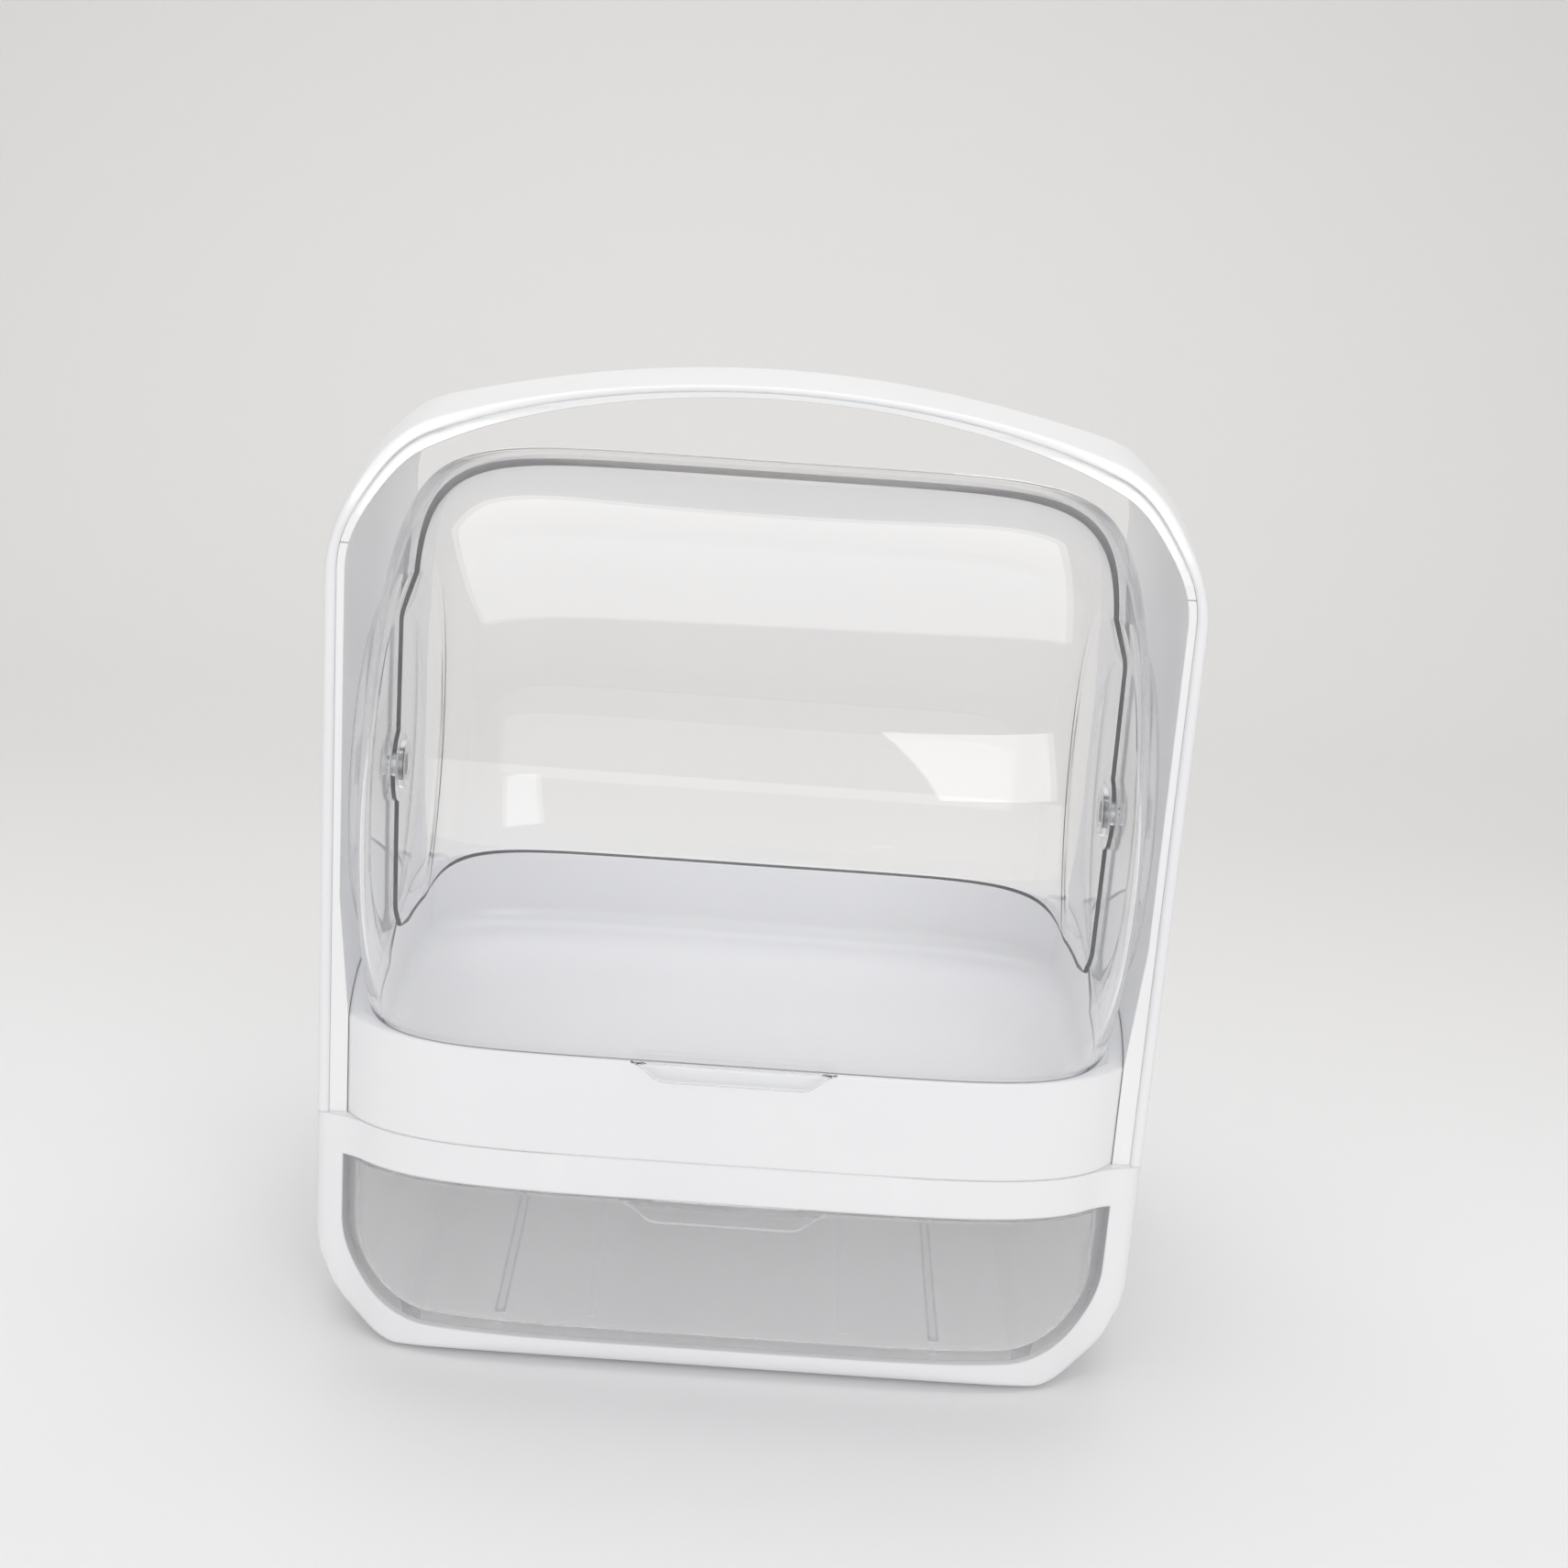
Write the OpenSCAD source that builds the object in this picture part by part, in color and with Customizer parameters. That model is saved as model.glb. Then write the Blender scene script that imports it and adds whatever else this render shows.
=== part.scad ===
// Dustproof makeup organizer: a carry frame with a fixed handle, an open tray under two clear
// hoods that swing up about one pivot line, and a clear drawer in the lower housing.
// Millimetres. The origin is under the middle of the base, +Z is up and the front faces -Y.

/* [Overall] */
// Overall width, across the bulge of the carry frame
body_w = 300; // [280:1:320]
// Depth of the tray and the lower housing, over their front and rear bulge
body_d = 204; // [196:1:212]
// Height to the top of the handle
total_h = 338; // [332:1:350]
// Height of the joint between the lower housing and the tray
seam_z = 84; // [82:0.5:88]
// Height of the tray's rim
rim_z = 121; // [117:0.5:124]
// Squareness of the plan outline, as a superellipse power
plan_power = 5; // [4:0.1:6]

/* [Carry frame] */
// Depth of the frame's side walls
frame_d = 163.4; // [150:0.2:166]
// How far each side wall bulges outwards between its front and rear edges
side_bulge = 5.5; // [3:0.1:7]
// Thickness of the outer shell at the sides
frame_wall = 4; // [3:0.1:5]
// Thickness of the inner liner where it carries the pivot
liner_wall = 2.7; // [2:0.1:3.2]
// Step from the frame's edge back to the liner's edge
liner_inset = 1.2; // [0.4:0.1:3]
// How much further in the liner stands beside the tray
liner_lean = 3.5; // [1:0.1:4]
// Depth of the handle strip
handle_d = 42; // [34:1:54]
// Thickness of the handle's outer shell
handle_wall = 2.1; // [1.6:0.1:3]
// Thickness of the handle's liner
handle_liner_wall = 2.1; // [1.6:0.1:3]
// Height of the sweep in which the frame narrows towards the handle
shoulder_drop = 44; // [40:1:53]
// Radius of the frame's upper outer corners
shoulder_r = 46; // [40:1:52]
// Radius of the handle's crown
crown_r = 413; // [380:1:450]

/* [Hoods] */
// Gap for the fingers between the closed hoods and the handle
finger_gap = 25.3; // [22:0.1:30]
// Sideways gap between a hood's cheeks and the frame at the tray's rim
hood_side_gap = 0.3; // [0.3:0.1:0.8]
// Squareness of the hoods' rounded edge
hood_power = 6.5; // [5:0.1:8]
// Wall of both hoods
hood_wall = 2.2; // [1.8:0.1:2.5]
// Radial gap between the nested hoods
hood_gap_r = 1.8; // [1.5:0.1:2.2]
// Sideways gap between the nested hoods
hood_gap_x = 1.2; // [1:0.1:1.5]
// How far the round cheeks stand out beyond the hood's half width
cheek_rise = 5.7; // [4.5:0.1:5.9]
// Radius of the flat face of a cheek
cheek_r = 59; // [50:1:62]
// Width of the sloping edge round a cheek
cheek_slope = 16; // [10:1:20]
// Overlap of the hoods past the middle plane
hood_lap = 3; // [1:0.5:4]
// Width of a finger tab along its top
tab_w = 70; // [50:1:90]
// Height of a finger tab
tab_h = 7; // [5:0.5:9]
// Thickness of a finger tab
tab_t = 2.2; // [1.6:0.1:3]

/* [Pivots] */
// Radius of the pivot pin
pin_r = 4; // [3:0.1:5]
// Radial running clearance round the pivot pin
pin_play = 0.06; // [0.03:0.01:0.1]
// Radius of the pin's flange
flange_r = 8; // [6.5:0.1:10]
// Thickness of the pin's flange
flange_t = 1.8; // [1.2:0.1:2.2]
// Radius of the round bosses and ears at the pivot
ear_r = 14; // [12:0.5:18]
// Radius of the pivot washers
washer_r = 9; // [7:0.5:11]
// Thickness of the pivot's end cap
cap_t = 2.6; // [2.2:0.1:3.4]

/* [Tray] */
// Wall of the tray, which is also the rim the hoods rest on
tray_wall = 5.5; // [4:0.1:7]
// Thickness of the tray's floor
tray_floor = 2.5; // [2:0.1:4]
// Space under the tray's floor, above the joint
tray_drop = 2.5; // [1:0.1:4]

/* [Lower housing] */
// Thickness of the housing's walls where the bay leaves them free
housing_wall = 3; // [2:0.1:4]
// Height of the bay's floor
bay_z = 12; // [10:0.5:15]
// Distance from the bay's ceiling up to the joint under the tray
bay_drop = 14.7; // [13:0.1:18]
// Thickness of the housing's sides beside the bay
bay_side = 15; // [14:0.5:20]
// Radius of the bay's lower corners
bay_r = 33; // [26:1:38]
// Radius of the bay's rear corners seen from above
bay_rear_r = 31; // [30:1:41]
// Radius of the lower outer corners seen from the front
base_corner_x = 40; // [30:1:44]
// Height of the lower outer corners seen from the front
base_corner_z = 60; // [46:1:66]
// Radius along the base's front and rear edges
base_edge_r = 10; // [6:1:14]

/* [Drawer] */
// Clearance round the drawer in its bay
drawer_gap = 1; // [0.8:0.1:1.5]
// Walls and floor of the drawer
drawer_wall = 2.6; // [2:0.1:3.4]
// How far the drawer pulls out
drawer_travel = 140; // [100:1:150]
// Distance of the guide channels from the bay's sides
channel_side = 58; // [54:1:66]
// Distance of the low floor ribs from the bay's sides
rib_side = 90; // [78:1:100]
// Depth of the guide channels under the drawer
channel_depth = 1.2; // [0.8:0.1:1.6]

/* [Feet and fasteners] */
// Height the housing stands above the table on its feet
foot_lift = 1.2; // [0.8:0.1:2]
// Radius of a foot
foot_r = 8; // [6:0.5:10]
// Distance of the feet from the housing's widest places, sideways
foot_side = 54; // [50:1:66]
// Distance of the feet from the housing's front and back
foot_end = 38; // [34:1:50]
// Radius of the screws' threads
screw_r = 1.5; // [1.2:0.1:2]
// Distance of the frame's screws from the frame's front and rear edges
frame_screw_end = 31.7; // [26:0.1:42]

/* [Hidden] */
$fn = 96;
big = 500;
shell_colour = [0.94, 0.94, 0.95];
clear_colour = [0.82, 0.86, 0.88, 0.45];

half_w = body_w / 2;
half_d = body_d / 2;
frame_half_d = frame_d / 2;
bulge_r = (frame_half_d * frame_half_d + side_bulge * side_bulge) / (2 * side_bulge);
joint_half_w = half_w - frame_wall;
liner_half_w = joint_half_w - liner_wall;
low_liner_half_w = liner_half_w - liner_lean;
joint_apex = total_h - handle_wall;
liner_apex = joint_apex - handle_liner_wall;
shoulder_z = total_h - shoulder_drop;

// The hoods' skirts stand over the tray's front and back, and their crown stays clear of the handle
hood_height = liner_apex - finger_gap - rim_z;
hood_reach = half_d * half_d / hood_height;
hood_r = (hood_height + hood_reach) / 2;
pivot_z = rim_z + (hood_height - hood_reach) / 2;
lean_top_z = pivot_z - ear_r - 8;

joint_r = shoulder_r - frame_wall - 2;
liner_r = joint_r - liner_wall - 1;
joint_crown_r = crown_r - 33;
liner_crown_r = crown_r - 64;
liner_split_z = shoulder_z - 6;
split_gap = 0.2;

fit_gap = 0.2;
rim_gap = 0.3;
tray_half_w = low_liner_half_w - fit_gap;
tray_floor_z = seam_z + tray_drop;
plan_half_w = half_w - 6;

cheek_half_w = low_liner_half_w - hood_side_gap;
hood_half_w = cheek_half_w - cheek_rise;
nest_x = hood_wall + hood_gap_x;
nest_r = hood_wall + hood_gap_r;
ear_clear = 0.1;
boss_face_x = cheek_half_w + 1.8;
pin_end_x = cheek_half_w - nest_x - hood_wall - cap_t + 0.8;
cap_gap = 0.2;

bay_half_w = half_w - bay_side;
bay_top_z = seam_z - bay_drop;
bay_back = half_d - 8;
drawer_half_w = bay_half_w - drawer_gap;
drawer_z = bay_z + drawer_gap;
drawer_top_z = bay_top_z - drawer_gap - 0.3;
drawer_r = bay_r - drawer_gap;
drawer_front = half_d - 0.4;
drawer_back = bay_back - 2;
drawer_front_wall = drawer_wall + 0.4;
channel_w = 4;
channel_x = bay_half_w - channel_side;
rib_x = bay_half_w - rib_side;
stop_pin_r = 1.6;
stop_pin_y = -half_d + 14;
channel_front = stop_pin_y - stop_pin_r - 0.5;
channel_back = stop_pin_y + drawer_travel + stop_pin_r + 0.5;

deck_t = 2.7;
deck_z = bay_top_z + deck_t;
floor_t = 3;
pocket_x = bay_half_w + housing_wall;
pocket_w = 7.4;
frame_screw_y = frame_half_d - frame_screw_end;
pocket_half_d = frame_screw_y + 16;
pocket_z = seam_z - 30;
tenon_gap = 0.4;
tenon_w = 16;
tenon_z = pocket_z + 5;
screw_head_r = 3;
screw_head_t = 1.6;
frame_screw_z = tenon_z + 10;
frame_screw_length = housing_wall + 5.5;
tray_screw_x = bay_half_w - 45;
tray_screw_y = half_d - 42;
tray_boss_r = 4.2;
deck_boss_r = 6;
deck_boss_top = deck_z + 3.6;
runner_x = bay_half_w - 43;
runner_w = 6;
foot_x = half_w - foot_side;
foot_y = half_d - foot_end;
foot_boss_r = foot_r + 3;
foot_t = 3;

// Points of an arc in the drawing plane
function arc(cx, cy, r, a0, a1, n) =
    [for (i = [0:n]) let (a = a0 + (a1 - a0) * i / n) [cx + r * cos(a), cy + r * sin(a)]];
function mirrored(points) = [for (i = [len(points) - 1:-1:0]) [-points[i].x, points[i].y]];
function signed_power(v, p) = sign(v) * pow(abs(v), p);
// Closed superellipse outline
function superellipse(a, b, power, n = 96) =
    [for (i = [0:n - 1]) let (t = 360 * i / n)
        [a * signed_power(cos(t), 2 / power), b * signed_power(sin(t), 2 / power)]];
function bezier(p, t) =
    pow(1 - t, 3) * p[0] + 3 * pow(1 - t, 2) * t * p[1] + 3 * (1 - t) * t * t * p[2] + pow(t, 3) * p[3];

// Arch of the frame seen from the front: straight sides, round shoulders and a shallow crown
function arch_half(hw, apex, corner, crown, foot_points) =
    let (crown_z = apex - crown,
         corner_z = crown_z + sqrt(pow(crown - corner, 2) - pow(hw - corner, 2)),
         meet = atan2(corner_z - crown_z, hw - corner))
    concat(foot_points, arc(hw - corner, corner_z, corner, 0, meet, 14),
        [for (i = [1:12]) let (a = meet + (90 - meet) * i / 12)
            [crown * cos(a), crown_z + crown * sin(a)]]);

// U outline of the bay and the drawer seen from the front
function u_outline(hw, z0, z1, r) =
    concat([[hw, z1]], arc(hw - r, z0 + r, r, 0, -90, 12), arc(r - hw, z0 + r, r, 270, 180, 12),
        [[-hw, z1]]);

// Plan of the bay and the drawer: open at the front, with round rear corners
function rear_outline(hw, back, r) =
    concat([[hw, -big]], arc(hw - r, back - r, r, 0, 90, 16), arc(r - hw, back - r, r, 90, 180, 16),
        [[-hw, -big]]);

// Side profile of the frame: upright walls that sweep in to the handle strip
function shoulder_curve(half_depth, half_handle, z0) =
    [for (i = [0:12]) bezier([[half_depth, z0], [half_depth, z0 + 20],
        [half_handle, z0 + 12], [half_handle, z0 + 40]], i / 12)];
function frame_profile(inset) =
    let (right = concat([[frame_half_d - inset, 0]],
            shoulder_curve(frame_half_d - inset, handle_d / 2 - inset, shoulder_z - inset),
            [[handle_d / 2 - inset, total_h + 10]]))
    concat(right, mirrored(right));

// Extrudes a front view (x, z) through the whole depth
module through_y(depth) { rotate([90, 0, 0]) linear_extrude(depth, center = true) children(); }
// Extrudes a side view (y, z) through the whole width
module through_x(width) { rotate([90, 0, 90]) linear_extrude(width, center = true) children(); }

// Upright prism whose two sides bulge outwards to the given half width
module bulged_strip(hw, depth, z0, z1) {
    translate([0, 0, z0]) linear_extrude(z1 - z0) intersection() {
        square([3 * hw, depth], center = true);
        translate([hw - bulge_r, 0]) circle(bulge_r, $fn = 360);
        translate([bulge_r - hw, 0]) circle(bulge_r, $fn = 360);
    }
}

// Solid with the given right half as its front view, whose sides bulge outwards like the frame's
module bulged_solid(half) {
    axis_x = bulge_r - half_w;
    sweep = 24;
    for (sx = [0, 1]) mirror([sx, 0, 0]) intersection() {
        translate([-axis_x, 0, 0]) rotate([0, 0, -sweep / 2]) rotate_extrude(angle = sweep, $fn = 540)
            polygon([for (p = closed_half(half)) [p.x + axis_x, p.y]]);
        translate([0, -big / 2, -big / 2]) cube([big, big, 2 * big]);
    }
}
// Closes a half outline a little past the middle plane
function closed_half(half) =
    let (first = half[0], last = half[len(half) - 1])
    concat(half, [[-4, last.y], [-4, first.y]]);

module outer_arch() {
    bulged_solid(arch_half(half_w, total_h, shoulder_r, crown_r, [[half_w, seam_z]]));
}

module joint_arch() {
    bulged_solid(arch_half(joint_half_w, joint_apex, joint_r, joint_crown_r,
        [[joint_half_w, seam_z]]));
}

module liner_arch() {
    bulged_solid(arch_half(liner_half_w, liner_apex, liner_r, liner_crown_r,
        [[low_liner_half_w, seam_z - 1], [low_liner_half_w, rim_z], [liner_half_w, lean_top_z]]));
}

module mirror_left() { mirror([1, 0, 0]) children(); }

// Cylinder along X between two places on the pivot line
module pivot_cylinder(r, x0, x1) {
    translate([x0, 0, pivot_z]) rotate([0, 90, 0]) cylinder(h = x1 - x0, r = r);
}

// ---- lower housing -------------------------------------------------------------------------

// Base seen from the front, with its lower corners
function base_outline() =
    let (corner = [for (i = [0:12]) let (a = 90 * i / 12)
            [half_w - base_corner_x + base_corner_x * pow(cos(a), 2 / 2.2),
             foot_lift + base_corner_z - base_corner_z * pow(sin(a), 2 / 2.2)]])
    concat([[half_w, seam_z]], corner, mirrored(corner), [[-half_w, seam_z]]);
function base_profile() =
    let (corner = arc(half_d - base_edge_r, foot_lift + base_edge_r, base_edge_r, 0, -90, 8))
    concat([[half_d, seam_z]], corner, mirrored(corner), [[-half_d, seam_z]]);

module housing_body() {
    intersection() {
        through_y(body_d + 2) polygon(base_outline());
        through_x(body_w + 2) polygon(base_profile());
        union() {
            bulged_strip(half_w, frame_d, 0, seam_z);
            linear_extrude(seam_z) polygon(superellipse(plan_half_w, half_d, plan_power));
        }
    }
}

module each_foot() {
    for (sx = [-1, 1], sy = [-1, 1]) translate([sx * foot_x, sy * foot_y, 0]) children();
}

module underside_recess() {
    difference() {
        translate([0, 0, -1]) linear_extrude(bay_z - floor_t + 1)
            polygon(superellipse(bay_half_w - 26, half_d - 16, plan_power));
        each_foot() translate([0, 0, -2]) cylinder(h = bay_z, r = foot_boss_r);
    }
}

module each_frame_screw() {
    for (sx = [-1, 1], sy = [-1, 1])
        translate([sx * bay_half_w, sy * frame_screw_y, frame_screw_z])
            rotate([0, 90 * sx, 0]) children();
}

module each_tray_screw() {
    for (sx = [-1, 1], sy = [-1, 1])
        translate([sx * tray_screw_x, sy * tray_screw_y, bay_top_z]) children();
}

module lower_housing() {
    color(shell_colour) difference() {
        union() {
            difference() {
                housing_body();
                translate([0, 0, deck_z]) linear_extrude(seam_z)
                    polygon(superellipse(pocket_x - 2, half_d - housing_wall, plan_power));
            }
            each_tray_screw() cylinder(h = deck_boss_top - bay_top_z, r = deck_boss_r);
        }
        intersection() {
            through_y(3 * body_d) polygon(u_outline(bay_half_w, bay_z, bay_top_z, bay_r));
            linear_extrude(seam_z) polygon(rear_outline(bay_half_w, bay_back, bay_rear_r));
        }
        underside_recess();
        for (sx = [-1, 1])
            translate([sx * (pocket_x + pocket_w / 2), 0, pocket_z + big / 2])
                cube([pocket_w, 2 * pocket_half_d, big], center = true);
        each_foot() translate([0, 0, -1]) cylinder(h = foot_t + 1 + ear_clear, r = foot_r + ear_clear);
        each_frame_screw() {
            translate([0, 0, -1]) cylinder(h = screw_head_t + 1 + fit_gap, r = screw_head_r + fit_gap);
            cylinder(h = housing_wall + 1, r = screw_r + fit_gap);
        }
        each_tray_screw() {
            translate([0, 0, -1]) cylinder(h = screw_head_t + 1 + fit_gap, r = screw_head_r + fit_gap);
            cylinder(h = deck_boss_top, r = screw_r + fit_gap);
        }
        each_stop_pin() translate([0, 0, bay_z - 2.4]) cylinder(h = 4, r = stop_pin_r);
    }
}

// ---- tray ----------------------------------------------------------------------------------

module tray_prism(inset, z0, z1) {
    intersection() {
        translate([0, 0, z0]) linear_extrude(z1 - z0)
            polygon(superellipse(plan_half_w - inset, half_d - inset, plan_power));
        bulged_strip(tray_half_w - inset, body_d + 2, z0 - 1, z1 + 1);
    }
}

module tray() {
    color(shell_colour) difference() {
        union() {
            difference() {
                tray_prism(0, seam_z, rim_z);
                tray_prism(tray_wall, tray_floor_z + tray_floor, rim_z + 2);
                tray_prism(housing_wall, seam_z - 1, tray_floor_z);
            }
            each_tray_screw() translate([0, 0, deck_boss_top - bay_top_z + fit_gap])
                cylinder(h = tray_floor_z - deck_boss_top + 1, r = tray_boss_r);
        }
        each_tray_screw() cylinder(h = tray_floor_z - bay_top_z - 1, r = screw_r);
    }
}

// ---- carry frame and its liners --------------------------------------------------------------

module carry_frame() {
    color(shell_colour) difference() {
        union() {
            intersection() {
                outer_arch();
                through_x(body_w + 2) polygon(frame_profile(0));
            }
            for (sx = [-1, 1], sy = [-1, 1])
                translate([sx * (pocket_x + pocket_w / 2), sy * frame_screw_y, (tenon_z + seam_z + 6) / 2])
                    cube([pocket_w - 2 * tenon_gap, tenon_w, seam_z + 6 - tenon_z], center = true);
        }
        difference() {
            joint_arch();
            translate([-big / 2, -big / 2, seam_z - big]) cube([big, big, big]);
        }
        each_frame_screw() cylinder(h = housing_wall + 6, r = screw_r);
        for (sx = [-1, 1]) scale([sx, 1, 1])
            pivot_cylinder(flange_r + fit_gap, joint_half_w - 1, joint_half_w + flange_t + fit_gap);
    }
}

module liner_ring() {
    intersection() {
        difference() {
            joint_arch();
            liner_arch();
        }
        through_x(body_w + 2) polygon(frame_profile(liner_inset));
        translate([-big / 2, -big / 2, seam_z]) cube([big, big, big]);
    }
}

module right_liner_solid() {
    difference() {
        union() {
            intersection() {
                liner_ring();
                translate([0, -big / 2, 0]) cube([big, big, liner_split_z]);
            }
            pivot_cylinder(ear_r, boss_face_x, liner_half_w + 1);
        }
        pivot_cylinder(pin_r, boss_face_x - 1, joint_half_w + 1);
    }
}

module right_side_liner() { color([0.9, 0.91, 0.92]) right_liner_solid(); }
module left_side_liner() { color([0.9, 0.91, 0.92]) mirror_left() right_liner_solid(); }

module handle_liner() {
    color([0.9, 0.91, 0.92]) intersection() {
        liner_ring();
        translate([-big / 2, -big / 2, liner_split_z + split_gap]) cube([big, big, big]);
    }
}

// ---- hoods ---------------------------------------------------------------------------------

// Half profile of a hood skin as [radius, half width]: flat cheek, slope and rounded drum edge
function skin_half(inset_x, inset_r) =
    let (a = hood_half_w - inset_x, r = hood_r - inset_r,
         r1 = cheek_r - 0.2 * inset_x, r2 = r1 + cheek_slope,
         a0 = asin(pow(r2 / r, hood_power / 2)))
    concat([[pin_r + pin_play, cheek_half_w - inset_x], [r1, cheek_half_w - inset_x]],
        [for (i = [0:14]) let (t = a0 + (90 - a0) * i / 14)
            [r * pow(sin(t), 2 / hood_power), a * pow(max(cos(t), 0), 2 / hood_power)]]);
function skin(inset_x, inset_r) =
    let (half = skin_half(inset_x, inset_r))
    concat(half, [for (i = [len(half) - 2:-1:0]) [half[i].x, -half[i].y]]);
function reversed(points) = [for (i = [len(points) - 1:-1:0]) points[i]];

module drum(inset_x, inset_r) {
    translate([0, 0, pivot_z]) rotate([0, 90, 0]) rotate_extrude($fn = 180)
        polygon(concat(skin(inset_x, inset_r), reversed(skin(inset_x + hood_wall, inset_r + hood_wall))));
}

// Keeps the front half of a drum above the rim, with the whole ear round the pivot
module front_half_space() {
    translate([-big / 2, hood_lap - big, rim_z + rim_gap]) cube([big, big, big]);
    pivot_cylinder(ear_r, -half_w, half_w);
}

// Trapezoid finger tab seen from the front, hanging from z = 0
module tab_outline(top_extra) {
    polygon([[-tab_w / 2, top_extra], [tab_w / 2, top_extra], [tab_w / 2, 0],
        [tab_w / 2 - 11, -tab_h], [11 - tab_w / 2, -tab_h], [-tab_w / 2, 0]]);
}

module front_hood() {
    tongue_back = half_d + 0.6;
    color(clear_colour) union() {
        intersection() {
            drum(0, 0);
            front_half_space();
        }
        translate([0, -tongue_back, rim_z]) rotate([90, 0, 0]) linear_extrude(tab_t)
            tab_outline(3.6);
    }
}

module rear_hood() {
    edge_y = sqrt(pow(hood_r - nest_r, 2) - pow(pivot_z - rim_z - rim_gap, 2));
    color(clear_colour) union() {
        intersection() {
            drum(nest_x, nest_r);
            mirror([0, 1, 0]) front_half_space();
        }
        translate([0, edge_y + 1.2, rim_z + rim_gap]) rotate([90, 0, 0])
            linear_extrude(1.6) translate([-tab_w / 2, 0]) square([tab_w, 3]);
    }
}

// ---- pivots --------------------------------------------------------------------------------

module right_pin_solid() {
    pivot_cylinder(flange_r, joint_half_w, joint_half_w + flange_t);
    pivot_cylinder(pin_r, pin_end_x, joint_half_w + 1);
}

module washer(x0, x1) {
    difference() {
        pivot_cylinder(washer_r, x0, x1);
        pivot_cylinder(pin_r + pin_play, x0 - 1, x1 + 1);
    }
}

module right_washer_solids() {
    washer(cheek_half_w + ear_clear, boss_face_x - ear_clear);
    washer(cheek_half_w - nest_x + ear_clear, cheek_half_w - hood_wall - ear_clear);
}

module right_cap_solid() {
    cap_face = cheek_half_w - nest_x - hood_wall - cap_gap;
    difference() {
        pivot_cylinder(washer_r, cap_face - cap_t, cap_face);
        pivot_cylinder(pin_r, pin_end_x, cap_face + 1);
    }
}

module right_pivot_pin() { color("silver") right_pin_solid(); }
module left_pivot_pin() { color("silver") mirror_left() right_pin_solid(); }
module right_pivot_washers() { color([0.86, 0.86, 0.84]) right_washer_solids(); }
module left_pivot_washers() { color([0.86, 0.86, 0.84]) mirror_left() right_washer_solids(); }
module right_pivot_cap() { color([0.88, 0.9, 0.91]) right_cap_solid(); }
module left_pivot_cap() { color([0.88, 0.9, 0.91]) mirror_left() right_cap_solid(); }

// ---- drawer --------------------------------------------------------------------------------

module each_stop_pin() { for (sx = [-1, 1]) translate([sx * channel_x, stop_pin_y, 0]) children(); }

module drawer_block(inset, front_inset, z0, z1, back) {
    intersection() {
        through_y(3 * body_d)
            polygon(u_outline(drawer_half_w - inset, z0, z1, drawer_r - inset));
        linear_extrude(seam_z) polygon(superellipse(plan_half_w - front_inset,
            drawer_front - front_inset, plan_power));
        linear_extrude(seam_z)
            polygon(rear_outline(drawer_half_w - inset, back, bay_rear_r - drawer_gap - inset));
    }
}

module drawer() {
    floor_z = drawer_z + drawer_wall;
    color(clear_colour) difference() {
        union() {
            difference() {
                drawer_block(0, 0, drawer_z, drawer_top_z, drawer_back);
                drawer_block(drawer_wall, drawer_front_wall, floor_z, drawer_top_z + 2,
                    drawer_back - drawer_wall);
            }
            for (sx = [-1, 1]) {
                translate([sx * channel_x - channel_w / 2 - 1.2, channel_front - 1.2, floor_z - 1])
                    cube([channel_w + 2.4, channel_back - channel_front + 2.4, channel_depth + 1]);
                translate([sx * rib_x - 0.6, channel_front, floor_z - 1])
                    cube([1.2, channel_back - channel_front, 1.8]);
            }
            translate([0, 1 - drawer_front, drawer_top_z]) rotate([90, 0, 0])
                linear_extrude(tab_t + 1.8) tab_outline(0);
        }
        for (sx = [-1, 1])
            translate([sx * channel_x - channel_w / 2, channel_front, drawer_z - 1])
                cube([channel_w, channel_back - channel_front, channel_depth + 1]);
    }
}

module runner(sx) {
    runner_front = 12 - half_d;
    color([0.9, 0.9, 0.88]) translate([sx * runner_x - runner_w / 2, runner_front, bay_z])
        cube([runner_w, bay_back - 4 - runner_front, drawer_gap - ear_clear]);
}
module left_drawer_runner() { runner(-1); }
module right_drawer_runner() { runner(1); }

module drawer_stop_pins() {
    color("silver") each_stop_pin()
        translate([0, 0, bay_z - 2.4]) cylinder(h = 2.4 + drawer_gap + channel_depth - 0.3, r = stop_pin_r);
}

// ---- feet and fasteners ----------------------------------------------------------------------

// Pan-head screw with its head at z = 0 and its thread upwards
module screw(length) {
    cylinder(h = screw_head_t, r = screw_head_r);
    cylinder(h = length, r = screw_r);
}

module frame_screws() { color("silver") each_frame_screw() translate([0, 0, fit_gap]) screw(frame_screw_length); }
module tray_screws() {
    color("silver") each_tray_screw()
        translate([0, 0, fit_gap]) screw(tray_floor_z - bay_top_z - 2);
}

module foot(sx, sy) {
    color([0.7, 0.7, 0.7]) translate([sx * foot_x, sy * foot_y, 0]) cylinder(h = foot_t, r = foot_r);
}
module front_left_foot() { foot(-1, -1); }
module front_right_foot() { foot(1, -1); }
module rear_left_foot() { foot(-1, 1); }
module rear_right_foot() { foot(1, 1); }

lower_housing();
tray();
carry_frame();
left_side_liner();
right_side_liner();
handle_liner();
front_hood();
rear_hood();
left_pivot_pin();
right_pivot_pin();
left_pivot_washers();
right_pivot_washers();
left_pivot_cap();
right_pivot_cap();
drawer();
left_drawer_runner();
right_drawer_runner();
drawer_stop_pins();
frame_screws();
tray_screws();
front_left_foot();
front_right_foot();
rear_left_foot();
rear_right_foot();
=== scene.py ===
"""Dustproof makeup organizer: materials, dressed shells, studio light and camera around the CAD frame."""
import math

import bmesh
import bpy
from mathutils import Matrix, Vector


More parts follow.
